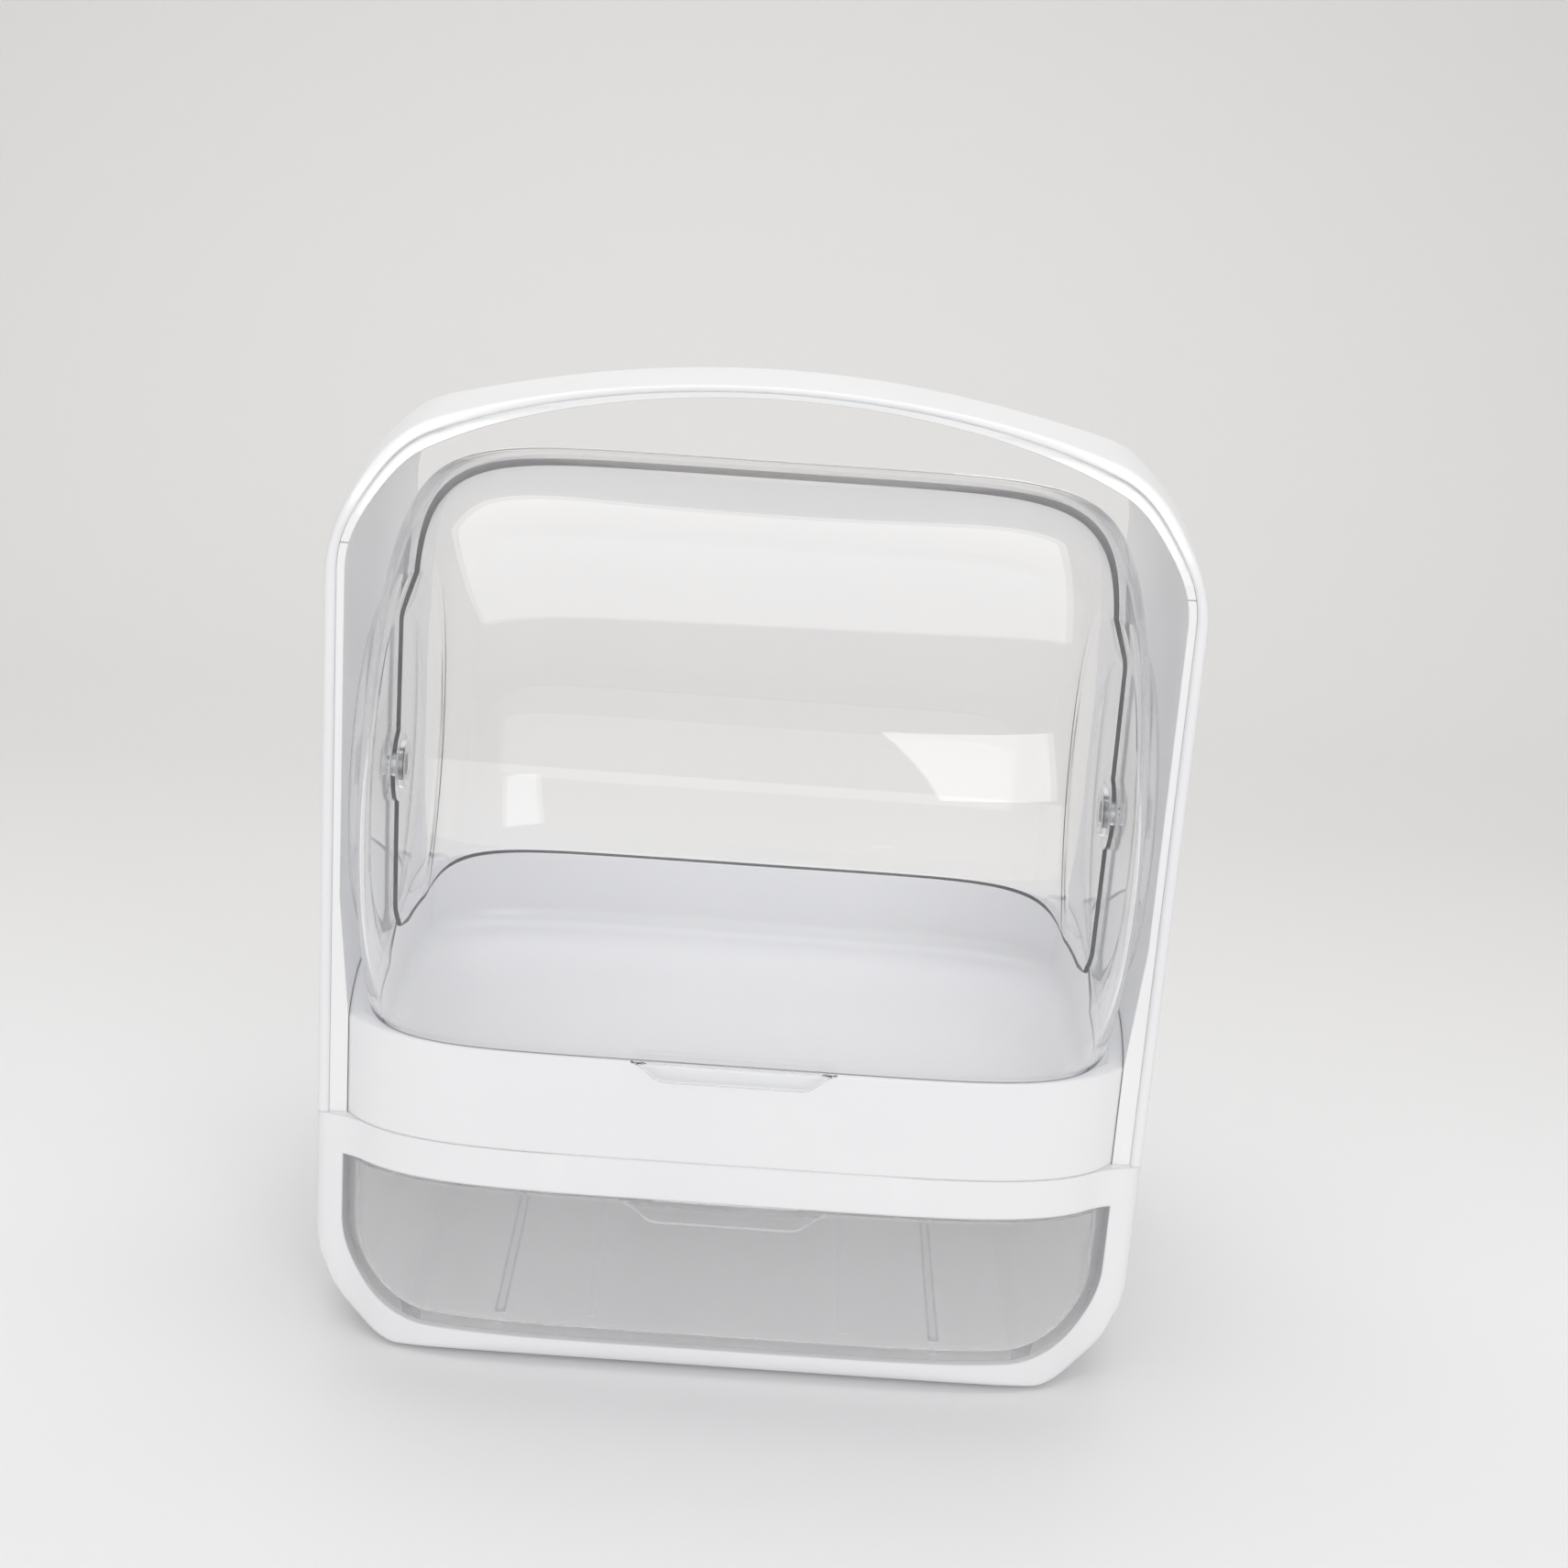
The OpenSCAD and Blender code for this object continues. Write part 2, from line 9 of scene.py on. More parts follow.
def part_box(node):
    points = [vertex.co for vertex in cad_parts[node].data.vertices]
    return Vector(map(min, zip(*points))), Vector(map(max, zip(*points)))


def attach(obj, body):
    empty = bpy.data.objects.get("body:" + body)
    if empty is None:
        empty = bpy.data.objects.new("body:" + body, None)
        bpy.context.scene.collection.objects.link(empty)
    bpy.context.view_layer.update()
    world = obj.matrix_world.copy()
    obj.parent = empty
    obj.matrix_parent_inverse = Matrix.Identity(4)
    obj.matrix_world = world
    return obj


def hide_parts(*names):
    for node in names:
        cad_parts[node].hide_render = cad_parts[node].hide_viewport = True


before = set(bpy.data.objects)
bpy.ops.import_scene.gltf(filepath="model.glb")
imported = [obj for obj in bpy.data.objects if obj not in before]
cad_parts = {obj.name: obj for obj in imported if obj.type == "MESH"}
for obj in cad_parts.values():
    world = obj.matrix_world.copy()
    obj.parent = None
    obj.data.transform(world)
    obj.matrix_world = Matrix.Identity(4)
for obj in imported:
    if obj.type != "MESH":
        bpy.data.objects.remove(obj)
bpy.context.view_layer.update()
scene = bpy.context.scene

# ---- sizes in millimetres, the outer ones read from the frame ----------------------------------

MM = 0.001


def box_mm(node):
    low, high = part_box(node)
    return [round(v / MM, 3) for v in low], [round(v / MM, 3) for v in high]


HALF_W, FRAME_HALF_D, TOTAL_H = box_mm("carry_frame")[1]
SEAM_Z = box_mm("lower_housing")[1][2]
TRAY_HALF_W, HALF_D, RIM_Z = box_mm("tray")[1]
PIVOT_Z = sum(corner[2] for corner in box_mm("right_pivot_pin")) / 2
PLAN_HALF_W = HALF_W - 6
PLAN_POWER = 5.0

# carry frame; SHOULDER_BEZIER gives the heights above SHOULDER_Z where it narrows to the handle
SIDE_BULGE = 5.5
FRAME_WALL = 4.0
HANDLE_WALL = 2.1
HANDLE_HALF_D = 21.0
SHOULDER_Z = TOTAL_H - 44
SHOULDER_BEZIER = (0.0, 20.0, 12.0, 40.0)
SHOULDER_RISE = SHOULDER_BEZIER[-1]
SHOULDER_R = 46.0
INNER_SHOULDER_R = SHOULDER_R - FRAME_WALL - 2
CROWN_R = 413.0
INNER_CROWN_R = CROWN_R - 33
BAND_EDGE_R = 1.7
BEND_SAMPLES = 32
LINE_SAMPLES = 40

# tenons of the frame, their slots in the housing, and the screws' seats
TENON_X = 141.7
TENON_Y = 50.0
TENON_LOW_Z, TENON_HIGH_Z = 59.0, 84.5
TENON_HALF_T, TENON_HALF_D = 3.3, 8.0
SLOT_HALF_T, SLOT_HALF_D, SLOT_DEPTH = 3.7, 66.0, 30.0
FRAME_SCREW_DROP = 15.0
TRAY_SCREW_X, TRAY_SCREW_Y = 90.0, 60.0
SCREW_SEAT_R = 3.2

# hoods, the rear one inset by NEST_X and NEST_R, and the finger tabs
RIM_GAP = 0.3
HOOD_R = -box_mm("front_hood")[0][1]
CHEEK_RISE = 5.7
HOOD_HALF_W = box_mm("front_hood")[1][0] - CHEEK_RISE
HOOD_POWER = 6.5
HOOD_WALL = 2.2
HOOD_LAP = 3.0
NEST_X = 3.4
NEST_R = 4.0
HOOD_STEPS = 110
CHEEK_R = 59.0
CHEEK_SLOPE = 16.0
KNEE = 3.0
EAR_R = 14.0
PIN_R = 4.06
LIP_CLEAR = 0.03
# height of the band along the front hood's lower edge that is tinted dark as painted shade
RIM_SHADE_BAND = 0.7
TAB_W = 70.0
TAB_H = 6.4
TAB_T = 2.2
TAB_STANDOFF = 0.6
TAB_EDGE_R = 0.3
TAB_CURVE = [(0, 0), (1.4, 0.04), (2.8, 0.13), (4.3, 0.3), (6.4, 0.6), (8.0, 0.8), (9.6, 0.93), (11.4, 1.0)]

# tray
TRAY_WALL = 5.5
TRAY_FLOOR = 5.0
HOUSING_WALL = 3.0

# drawer, with its guide channels and floor ribs
DRAWER_WALL = 2.6
DRAWER_SIDE_WALL = DRAWER_WALL + 2.0
DRAWER_FRONT_WALL = DRAWER_WALL + 0.6
DRAWER_EDGE_R = 0.9
DRAWER_INNER_EDGE_R = 2.0
DRAWER_TAB_T, DRAWER_TAB_REACH = 3.4, 2.9
DRAWER_HALF_W = box_mm("drawer")[1][0]
DRAWER_Z = box_mm("drawer")[0][2]
DRAWER_TOP_Z = box_mm("drawer")[1][2]
DRAWER_BACK = box_mm("drawer")[1][1]
DRAWER_FRONT = HALF_D - 0.4
DRAWER_R = 32.0
REAR_R = 30.0
CHANNEL_FRONT = -HALF_D + 11.9
CHANNEL_BACK = -HALF_D + 156.1
CHANNEL_X = 77.0
CHANNEL_DEPTH = 1.2
CHANNEL_HALF_W = 1.9
CHANNEL_LINE_X = 1.5
CHANNEL_LINE_HALF_W = 0.4
RIB_X = 45.0
RIB_HALF_W = 1.6
FROSTED_FROM_Y = -97.0

# lower housing, its bay, feet and stop pins
BASE_CORNER_X = 40.0
BASE_CORNER_Z = 60.0
BASE_EDGE_R = 10.0
SIDE_CORNER_MORE = 8.0
CORNER_POWER = 2.2
CORNER_FADE_Y = (30, 95)
STRIP_BLEND_Y = (60, 80)
BASE_Z = box_mm("lower_housing")[0][2]
BAY_HALF_W = DRAWER_HALF_W + 1
BAY_Z = DRAWER_Z - 1
BAY_TOP_Z = DRAWER_TOP_Z + 1.3
BAY_R = DRAWER_R + 1
BAY_BACK = HALF_D - 8
BAY_ROOF, BAY_FLOOR = 2.7, 3.0
FOOT_IN_X, FOOT_IN_Y = 54, 38
FOOT_BOSS_R, FOOT_SEAT_R, FOOT_SEAT_Z = 11.0, 8.1, 3.1
STOP_PIN_IN, STOP_PIN_SEAT_R = 14, 1.6
PLAN_SAMPLES = 160
BAR_SAMPLES = 48
SMOOTH_ANGLE = math.radians(28)


# ---- node-based materials ----------------------------------------------------------------------

SHELL_IOR = 1.5
CLEAR_IOR = 1.49


class Nodes:
    """Small helper that builds a node tree and links as it goes."""

    def __init__(self, name):
        self.material = bpy.data.materials.new(name)
        self.material.use_nodes = True
        self.tree = self.material.node_tree
        self.tree.nodes.clear()
        self.output = self.tree.nodes.new("ShaderNodeOutputMaterial")

    def add(self, kind, **settings):
        node = self.tree.nodes.new(kind)
        for key, value in settings.items():
            if hasattr(node, key):
                setattr(node, key, value)
            else:
                node.inputs[key.replace("_", " ")].default_value = value
        return node

    def link(self, source, target):
        self.tree.links.new(source, target)

    def object_noise(self, scale, detail=3.0, stretch=(1, 1, 1)):
        where = self.add("ShaderNodeTexCoord")
        mapping = self.add("ShaderNodeMapping")
        mapping.inputs["Scale"].default_value = stretch
        noise = self.add("ShaderNodeTexNoise")
        noise.inputs["Scale"].default_value = scale
        noise.inputs["Detail"].default_value = detail
        self.link(where.outputs["Object"], mapping.inputs["Vector"])
        self.link(mapping.outputs["Vector"], noise.inputs["Vector"])
        return noise.outputs["Fac"]

    def ramp(self, source, low, high, start=0.35, end=0.65):
        ramp = self.add("ShaderNodeValToRGB")
        ramp.color_ramp.elements[0].position = start
        ramp.color_ramp.elements[0].color = (*low, 1)
        ramp.color_ramp.elements[1].position = end
        ramp.color_ramp.elements[1].color = (*high, 1)
        self.link(source, ramp.inputs["Fac"])
        return ramp.outputs["Color"]

    def span(self, source, low, high):
        span = self.add("ShaderNodeMapRange")
        span.inputs["To Min"].default_value = low
        span.inputs["To Max"].default_value = high
        self.link(source, span.inputs["Value"])
        return span.outputs["Result"]

    def bump(self, source, strength, distance, edge_radius=0.0):
        bump = self.add("ShaderNodeBump")
        bump.inputs["Strength"].default_value = strength
        bump.inputs["Distance"].default_value = distance
        self.link(source, bump.inputs["Height"])
        if edge_radius:
            bevel = self.add("ShaderNodeBevel", samples=4)
            bevel.inputs["Radius"].default_value = edge_radius
            self.link(bevel.outputs["Normal"], bump.inputs["Normal"])
        return bump.outputs["Normal"]


def moulded_plastic(name, low, high, roughness, coat=0.0, edge_radius=0.0, grain=900.0):
    """Opaque moulded plastic: faint mottling, uneven gloss and a very fine mould grain."""
    n = Nodes(name)
    shader = n.add("ShaderNodeBsdfPrincipled")
    shader.inputs["IOR"].default_value = SHELL_IOR
    shader.inputs["Coat Weight"].default_value = coat
    shader.inputs["Coat Roughness"].default_value = 0.12
    n.link(n.ramp(n.object_noise(7.0), low, high), shader.inputs["Base Color"])
    n.link(n.span(n.object_noise(26.0), roughness - 0.05, roughness + 0.06), shader.inputs["Roughness"])
    n.link(n.bump(n.object_noise(grain, 2.0), 0.06, 0.0002, edge_radius), shader.inputs["Normal"])
    n.link(shader.outputs["BSDF"], n.output.inputs["Surface"])
    return n.material


def clear_plastic(name, tint, shadow_tint, roughness, haze=0.0, depth_tint=0.0):
    """Clear moulded plastic: refracts, with faint flow ripples and haze, and lets light through."""
    n = Nodes(name)
    shader = n.add("ShaderNodeBsdfPrincipled")
    shader.inputs["IOR"].default_value = CLEAR_IOR
    shader.inputs["Transmission Weight"].default_value = 1.0
    n.link(n.ramp(n.object_noise(5.0), tint, [min(1.0, c * 1.02) for c in tint]), shader.inputs["Base Color"])
    n.link(n.span(n.object_noise(40.0), roughness, roughness + 0.02), shader.inputs["Roughness"])
    n.link(n.bump(n.object_noise(7.0, 1.0), 0.02, 0.001), shader.inputs["Normal"])
    light = n.add("ShaderNodeLightPath")
    clear = n.add("ShaderNodeBsdfTransparent")
    clear.inputs["Color"].default_value = (*shadow_tint, 1)
    mix = n.add("ShaderNodeMixShader")
    soft = n.add("ShaderNodeMath", operation="MAXIMUM")
    n.link(light.outputs["Is Shadow Ray"], soft.inputs[0])
    n.link(light.outputs["Is Diffuse Ray"], soft.inputs[1])
    n.link(soft.outputs["Value"], mix.inputs["Fac"])
    milk = n.add("ShaderNodeBsdfDiffuse")
    milk.inputs["Color"].default_value = (0.94, 0.94, 0.94, 1)
    hazy = n.add("ShaderNodeMixShader")
    n.link(n.span(n.object_noise(12.0), haze * 0.9, haze * 1.1), hazy.inputs["Fac"])
    n.link(shader.outputs["BSDF"], hazy.inputs[1])
    n.link(milk.outputs["BSDF"], hazy.inputs[2])
    n.link(hazy.outputs["Shader"], mix.inputs[1])
    n.link(clear.outputs["BSDF"], mix.inputs[2])
    n.link(mix.outputs["Shader"], n.output.inputs["Surface"])
    if depth_tint:
        volume = n.add("ShaderNodeVolumeAbsorption")
        volume.inputs["Color"].default_value = (0.76, 0.765, 0.78, 1)
        volume.inputs["Density"].default_value = depth_tint
        n.link(volume.outputs["Volume"], n.output.inputs["Volume"])
    return n.material


def brushed_metal(name, low, high, roughness):
    n = Nodes(name)
    shader = n.add("ShaderNodeBsdfPrincipled")
    shader.inputs["Metallic"].default_value = 1.0
    n.link(n.ramp(n.object_noise(60.0), low, high), shader.inputs["Base Color"])
    n.link(n.span(n.object_noise(300.0, stretch=(1, 12, 12)), roughness, roughness + 0.15),
           shader.inputs["Roughness"])
    n.link(n.bump(n.object_noise(700.0, stretch=(1, 10, 10)), 0.1, 0.0002), shader.inputs["Normal"])
    n.link(shader.outputs["BSDF"], n.output.inputs["Surface"])
    return n.material


white_shell = moulded_plastic("white_shell", (0.84, 0.84, 0.852), (0.865, 0.865, 0.873), 0.30, 0.25, 0.0012)
# painted light: a lighter copy of the white plastic for the liners, which sit in shade
white_liner = moulded_plastic("white_liner", (0.87, 0.87, 0.873), (0.89, 0.89, 0.892), 0.36, 0.1, 0.0006)
clear_hood = clear_plastic("clear_hood", (0.98, 0.98, 0.985), (0.97, 0.972, 0.978), 0.0, 0.012, 7.0)
# painted shade: dark grey glass for the band along the front hood's lower edge
hood_rim_painted_shade = clear_plastic("hood_rim_painted_shade", (0.42, 0.42, 0.46), (0.8, 0.8, 0.82), 0.05, 0.01)
# painted shade: greyer glass for the finger tab's edge faces, so the edge reads as a dark line
tab_edge_painted_shade = clear_plastic("tab_edge_painted_shade", (0.72, 0.72, 0.75), (0.9, 0.9, 0.91), 0.05, 0.03)
clear_drawer = clear_plastic("clear_drawer", (0.955, 0.955, 0.96), (0.96, 0.96, 0.96), 0.01, 0.18)
# painted highlight: milky, slightly grey glass on the drawer floor ribs' tops, so they read as light lines
rib_line_painted_highlight = clear_plastic("rib_line_painted_highlight", (0.8, 0.8, 0.82), (0.9, 0.9, 0.91), 0.1, 0.35)
# painted shade: dark glass on the ridges beside the guide channels, drawing their dark lines
channel_line_painted_shade = clear_plastic("channel_line_painted_shade", (0.3, 0.3, 0.33), (0.8, 0.8, 0.82), 0.1, 0.1)
frosted_drawer = clear_plastic("frosted_drawer", (0.95, 0.95, 0.96), (0.95, 0.95, 0.96), 0.15, 0.5)
clear_cap = clear_plastic("clear_cap", (0.93, 0.94, 0.95), (0.9, 0.9, 0.91), 0.05)
steel = brushed_metal("zinc_steel", (0.50, 0.50, 0.52), (0.66, 0.66, 0.68), 0.25)
acetal = moulded_plastic("acetal", (0.78, 0.78, 0.76), (0.84, 0.84, 0.82), 0.45)
rubber = moulded_plastic("foot_rubber", (0.42, 0.42, 0.42), (0.5, 0.5, 0.5), 0.8, 0.0, 0.0005, 500.0)

NODE_MATERIALS = {
    "lower_housing": white_shell, "tray": white_shell, "carry_frame": white_shell,
    "left_side_liner": white_liner, "right_side_liner": white_liner, "handle_liner": white_liner,
    "front_hood": clear_hood, "rear_hood": clear_hood, "drawer": clear_drawer,
    "left_pivot_cap": clear_cap, "right_pivot_cap": clear_cap,
    "left_pivot_pin": steel, "right_pivot_pin": steel, "frame_screws": steel,
    "tray_screws": steel, "drawer_stop_pins": steel,
    "left_pivot_washers": acetal, "right_pivot_washers": acetal,
    "left_drawer_runner": acetal, "right_drawer_runner": acetal,
    "front_left_foot": rubber, "front_right_foot": rubber,
    "rear_left_foot": rubber, "rear_right_foot": rubber,
}


# ---- dressed shapes ----------------------------------------------------------------------------

def smooth_by_angle(obj):
    """Smooth shading that keeps edges sharper than SMOOTH_ANGLE."""
    with bpy.context.temp_override(object=obj, active_object=obj, selected_objects=[obj],
                                   selected_editable_objects=[obj]):
        bpy.ops.object.shade_smooth_by_angle(angle=SMOOTH_ANGLE)


def mesh_object(name, vertices, faces):
    """Object made from points in millimetres."""
    mesh = bpy.data.meshes.new(name)
    mesh.from_pydata([(x * MM, y * MM, z * MM) for x, y, z in vertices], [], faces)
    bm = bmesh.new()
    bm.from_mesh(mesh)
    bmesh.ops.remove_doubles(bm, verts=bm.verts, dist=1e-7)
    bmesh.ops.dissolve_degenerate(bm, dist=1e-7, edges=bm.edges)
    bmesh.ops.recalc_face_normals(bm, faces=bm.faces)
    bm.to_mesh(mesh)
    bm.free()
    obj = bpy.data.objects.new(name, mesh)
    scene.collection.objects.link(obj)
    return obj


def grid_faces(rows, columns, start=0, wrap=False):
    """Quads between rows of points that are stored one after the other."""
    faces = []
    for i in range(rows - 1):
        for j in range(columns if wrap else columns - 1):
            a, b = start + i * columns + j, start + i * columns + (j + 1) % columns
            faces.append((a, b, b + columns, a + columns))
    return faces


def capped_rings(rows, columns):
    """Faces of a closed solid made of rings: the skin and a cap at each end."""
    last = (rows - 1) * columns
    return grid_faces(rows, columns, wrap=True) + [tuple(range(columns)), tuple(range(last, last + columns))]


def combine(target, others, operation):
    """Applies exact booleans of the other objects to the target and removes them."""
    for other in others:
        step = target.modifiers.new("combine", "BOOLEAN")
        step.operation = operation
        step.solver = "EXACT"
        step.object = other
    graph = bpy.context.evaluated_depsgraph_get()
    result = bpy.data.meshes.new_from_object(target.evaluated_get(graph))
    target.modifiers.clear()
    target.data = result
    for other in others:
        bpy.data.objects.remove(other)


def dress(obj, node, body, material):
    """Puts the object in the place of the CAD node."""
    obj.data.materials.clear()
    obj.data.materials.append(material)
    smooth_by_angle(obj)
    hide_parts(node)
    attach(obj, body)


def second_material(obj, material, chosen):
    """Gives the faces that are chosen by their centre and normal another material."""
    obj.data.materials.append(material)
    for face in obj.data.polygons:
        if chosen(face.center, face.normal):
            face.material_index = len(obj.data.materials) - 1


def span(low, high, count):
    """Evenly spaced values, both ends included."""
    return [low + (high - low) * i / (count - 1) for i in range(count)]


def arc(cx, cy, r, start, end, steps):
    """Points of an arc; the angles are in degrees."""
    return [(cx + r * math.cos(math.radians(a)), cy + r * math.sin(math.radians(a)))
            for a in span(start, end, steps + 1)]


def box_mesh(name, low, high):
    corners = [(x, y, z) for z in (low[2], high[2]) for x, y in
               ((low[0], low[1]), (high[0], low[1]), (high[0], high[1]), (low[0], high[1]))]
    return mesh_object(name, corners, [(0, 1, 2, 3), (4, 5, 6, 7), (0, 1, 5, 4), (1, 2, 6, 5),
                                       (2, 3, 7, 6), (3, 0, 4, 7)])


# ---- carry frame: a rounded band along the arch, bulging outwards at the sides

BULGE_R = (FRAME_HALF_D ** 2 + SIDE_BULGE ** 2) / (2 * SIDE_BULGE)
BULGE_AXIS = BULGE_R - HALF_W


def bulged_x(x, y):
    """Half width at depth y of a surface that is x wide in the middle plane."""
    return math.sqrt((x + BULGE_AXIS) ** 2 - y * y) - BULGE_AXIS


def arch_line(half, apex, corner, crown, low_z):
    """Right half of an arch from its foot to the middle, always with the same number of points."""
    crown_z = apex - crown
    corner_z = crown_z + math.sqrt((crown - corner) ** 2 - (half - corner) ** 2)
    meet = math.degrees(math.atan2(corner_z - crown_z, half - corner))
    straight = [(half, z) for z in span(low_z, corner_z, LINE_SAMPLES)][:-1]
    return straight + arc(half - corner, corner_z, corner, 0, meet, BEND_SAMPLES) + \
        arc(0, crown_z, crown, meet, 90, LINE_SAMPLES)[1:]


def frame_depth(z):
    """Half depth of the frame at height z: upright, then sweeping in to the handle strip."""
    if z <= SHOULDER_Z:
        return FRAME_HALF_D
    heights = [SHOULDER_Z + rise for rise in SHOULDER_BEZIER]
    depths = (FRAME_HALF_D, FRAME_HALF_D, HANDLE_HALF_D, HANDLE_HALF_D)

    def bezier(p, t):
        s = 1 - t
        return s ** 3 * p[0] + 3 * s * s * t * p[1] + 3 * s * t * t * p[2] + t ** 3 * p[3]

    low, high = 0.0, 1.0
    for _ in range(40):
        middle = (low + high) / 2
        if bezier(heights, middle) < z:
            low = middle
        else:
            high = middle
    return bezier(depths, low) if z < SHOULDER_Z + SHOULDER_RISE else HANDLE_HALF_D


def band_section(outer, inner, edge_r):
    """Closed rounded section between an outer and an inner point of the arch."""
    thick = math.dist(outer, inner)
    r = min(edge_r, thick * 0.45)
    loop = []
    for side in (-1, 1):
        corners = [(0.0, side), (1.0, side)] if side < 0 else [(1.0, side), (0.0, side)]
        for t, s in corners:
            at_outer = t < 0.5
            for k in range(6):
                a = math.pi / 2 * k / 5
                if (side < 0) == at_outer:
                    along, back = r * (1 - math.cos(a)), r * (1 - math.sin(a))
                else:
                    along, back = r * (1 - math.sin(a)), r * (1 - math.cos(a))
                share = along / thick if at_outer else 1 - along / thick
                x = outer[0] + (inner[0] - outer[0]) * share
                z = outer[1] + (inner[1] - outer[1]) * share
                y = s * (frame_depth(z) - back)
                loop.append((x, y, z))
        depth_steps = span(0.0, 1.0, 14)[1:-1]
        edge = outer if side > 0 else inner
        y_end = frame_depth(edge[1]) - r
        loop.extend((edge[0], side * y_end * (1 - 2 * f), edge[1]) for f in depth_steps)
    return loop


def carry_band(name, outer_line, inner_line, edge_r):
    """Band between two right-hand arches, mirrored to the left."""
    rows = []
    for outer, inner in zip(outer_line, inner_line):
        rows.append([(bulged_x(x, y), y, z) for x, y, z in band_section(outer, inner, edge_r)])
    left = [[(-x, y, z) for x, y, z in row] for row in reversed(rows[:-1])]
    rows += left
    return mesh_object(name, [p for row in rows for p in row], capped_rings(len(rows), len(rows[0])))


def dressed_carry_frame():
    outer = arch_line(HALF_W, TOTAL_H, SHOULDER_R, CROWN_R, SEAM_Z)
    inner = arch_line(HALF_W - FRAME_WALL, TOTAL_H - HANDLE_WALL, INNER_SHOULDER_R, INNER_CROWN_R, SEAM_Z)
    band = carry_band("carry_frame_dressed", outer, inner, BAND_EDGE_R)
    tenons = [box_mesh("tenon", (sx * TENON_X - TENON_HALF_T, sy * TENON_Y - TENON_HALF_D, TENON_LOW_Z),
                       (sx * TENON_X + TENON_HALF_T, sy * TENON_Y + TENON_HALF_D, TENON_HIGH_Z))
              for sx in (-1, 1) for sy in (-1, 1)]
    combine(band, tenons, "UNION")
    dress(band, "carry_frame", "root", white_shell)


# ---- hoods: drums about the pivot line with raised cheeks

def hood_rings(inset_x, inset_r):
    """Right half of the drum's profile as (radius, x) from the pin hole out to the crown."""
    half_x, r, cheek_x = HOOD_HALF_W - inset_x, HOOD_R - inset_r, HOOD_HALF_W + CHEEK_RISE - inset_x
    slope_in = CHEEK_R - 0.2 * inset_x
    slope_out = slope_in + CHEEK_SLOPE
    start = math.degrees(math.asin((slope_out / r) ** (HOOD_POWER / 2)))
    crown = [(r * math.sin(math.radians(a)) ** (2 / HOOD_POWER),
              half_x * max(math.cos(math.radians(a)), 0.0) ** (2 / HOOD_POWER))
             for a in [start + (90 - start) * (1 - (1 - f) ** 1.6) for f in span(0, 1, 44)]]
    flat = [(q, cheek_x) for q in (PIN_R, 8.0, EAR_R)] + \
           [(q, cheek_x) for q in span(EAR_R + 4, slope_in - KNEE, 8)]
    foot = crown[0]
    knee = []
    for f in span(0, 1, 7):
        a, b, c = (slope_in - KNEE, cheek_x), (slope_in, cheek_x), \
            (slope_in + KNEE, cheek_x + (foot[1] - cheek_x) * KNEE / CHEEK_SLOPE)
        knee.append(tuple((1 - f) ** 2 * p + 2 * f * (1 - f) * q + f * f * s for p, q, s in zip(a, b, c)))
    slope = [(slope_in + KNEE + (foot[0] - slope_in - KNEE) * f, knee[-1][1] + (foot[1] - knee[-1][1]) * f)
             for f in span(0, 1, 6)]
    return flat + knee[1:] + slope[1:] + crown[1:]


def hood_skin(rings, steps, facing):
    """Rows of points of one skin; each row runs from the middle plane down to the rim."""
    reach = PIVOT_Z - RIM_Z - RIM_GAP
    rows = []

    def row(r, x, first, last):
        rows.append([(x, -facing * r * math.sin(a), PIVOT_Z + r * math.cos(a))
                     for a in [math.radians(degrees) for degrees in span(first, last, steps)]])

    def limits(r):
        over = math.degrees(math.asin(HOOD_LAP / r))
        return -over, 180 + over if r < reach * 1.001 else math.degrees(math.acos(-reach / r))

    right = []
    for r, x in rings:
        if r <= EAR_R:
            right.append((r, x, -90.0, 270.0))
            if r == EAR_R:
                over = math.degrees(math.asin(HOOD_LAP / r))
                right += [(r, x, -90 + (90 - over) * f, 270 - (90 - over) * f) for f in span(0, 1, 12)[1:]]
        else:
            right.append((r, x, *limits(r)))
    for ring in right:
        row(*ring)
    for r, x, first, last in reversed(right[:-1]):
        row(r, -x, first, last)
    return rows


def hood_shell(name, inset_x, inset_r, facing):
    """Closed shell of one hood: an outer and an inner skin joined along their edges."""
    steps = HOOD_STEPS
    outer = hood_skin(hood_rings(inset_x, inset_r), steps, facing)
    inner = hood_skin(hood_rings(inset_x + HOOD_WALL, inset_r + HOOD_WALL), steps, facing)
    rows = len(outer)
    points = [p for part in (outer, inner) for line in part for p in line]
    faces = grid_faces(rows, steps) + grid_faces(rows, steps, start=rows * steps)
    closed = [math.dist(line[0], line[-1]) < 1e-6 for line in outer]
    for i in range(rows - 1):
        if closed[i] and closed[i + 1]:
            continue
        for j in (0, steps - 1):
            a = i * steps + j
            faces.append((a, a + steps, a + steps + rows * steps, a + rows * steps))
    for i in (0, rows - 1):
        for j in range(steps - 1):
            a = i * steps + j
            faces.append((a, a + 1, a + 1 + rows * steps, a + rows * steps))
    return mesh_object(name, points, faces)


def tab_prism(name, top_z, front_y, thick):
    """Finger tab hanging below top_z: its edge flows out of the rim, down and round into a flat bottom."""
    outline = [(-TAB_W / 2 + x, -TAB_H * z) for x, z in TAB_CURVE]
    outline += [(-x, z) for x, z in reversed(outline)]
    n = len(outline)
    points = [(x, y, top_z + z) for y in (front_y, front_y + thick) for x, z in outline]
    faces = [tuple(range(n)), tuple(range(n, 2 * n))] + \
        [(i, (i + 1) % n, n + (i + 1) % n, n + i) for i in range(n)]
    return mesh_object(name, points, faces)


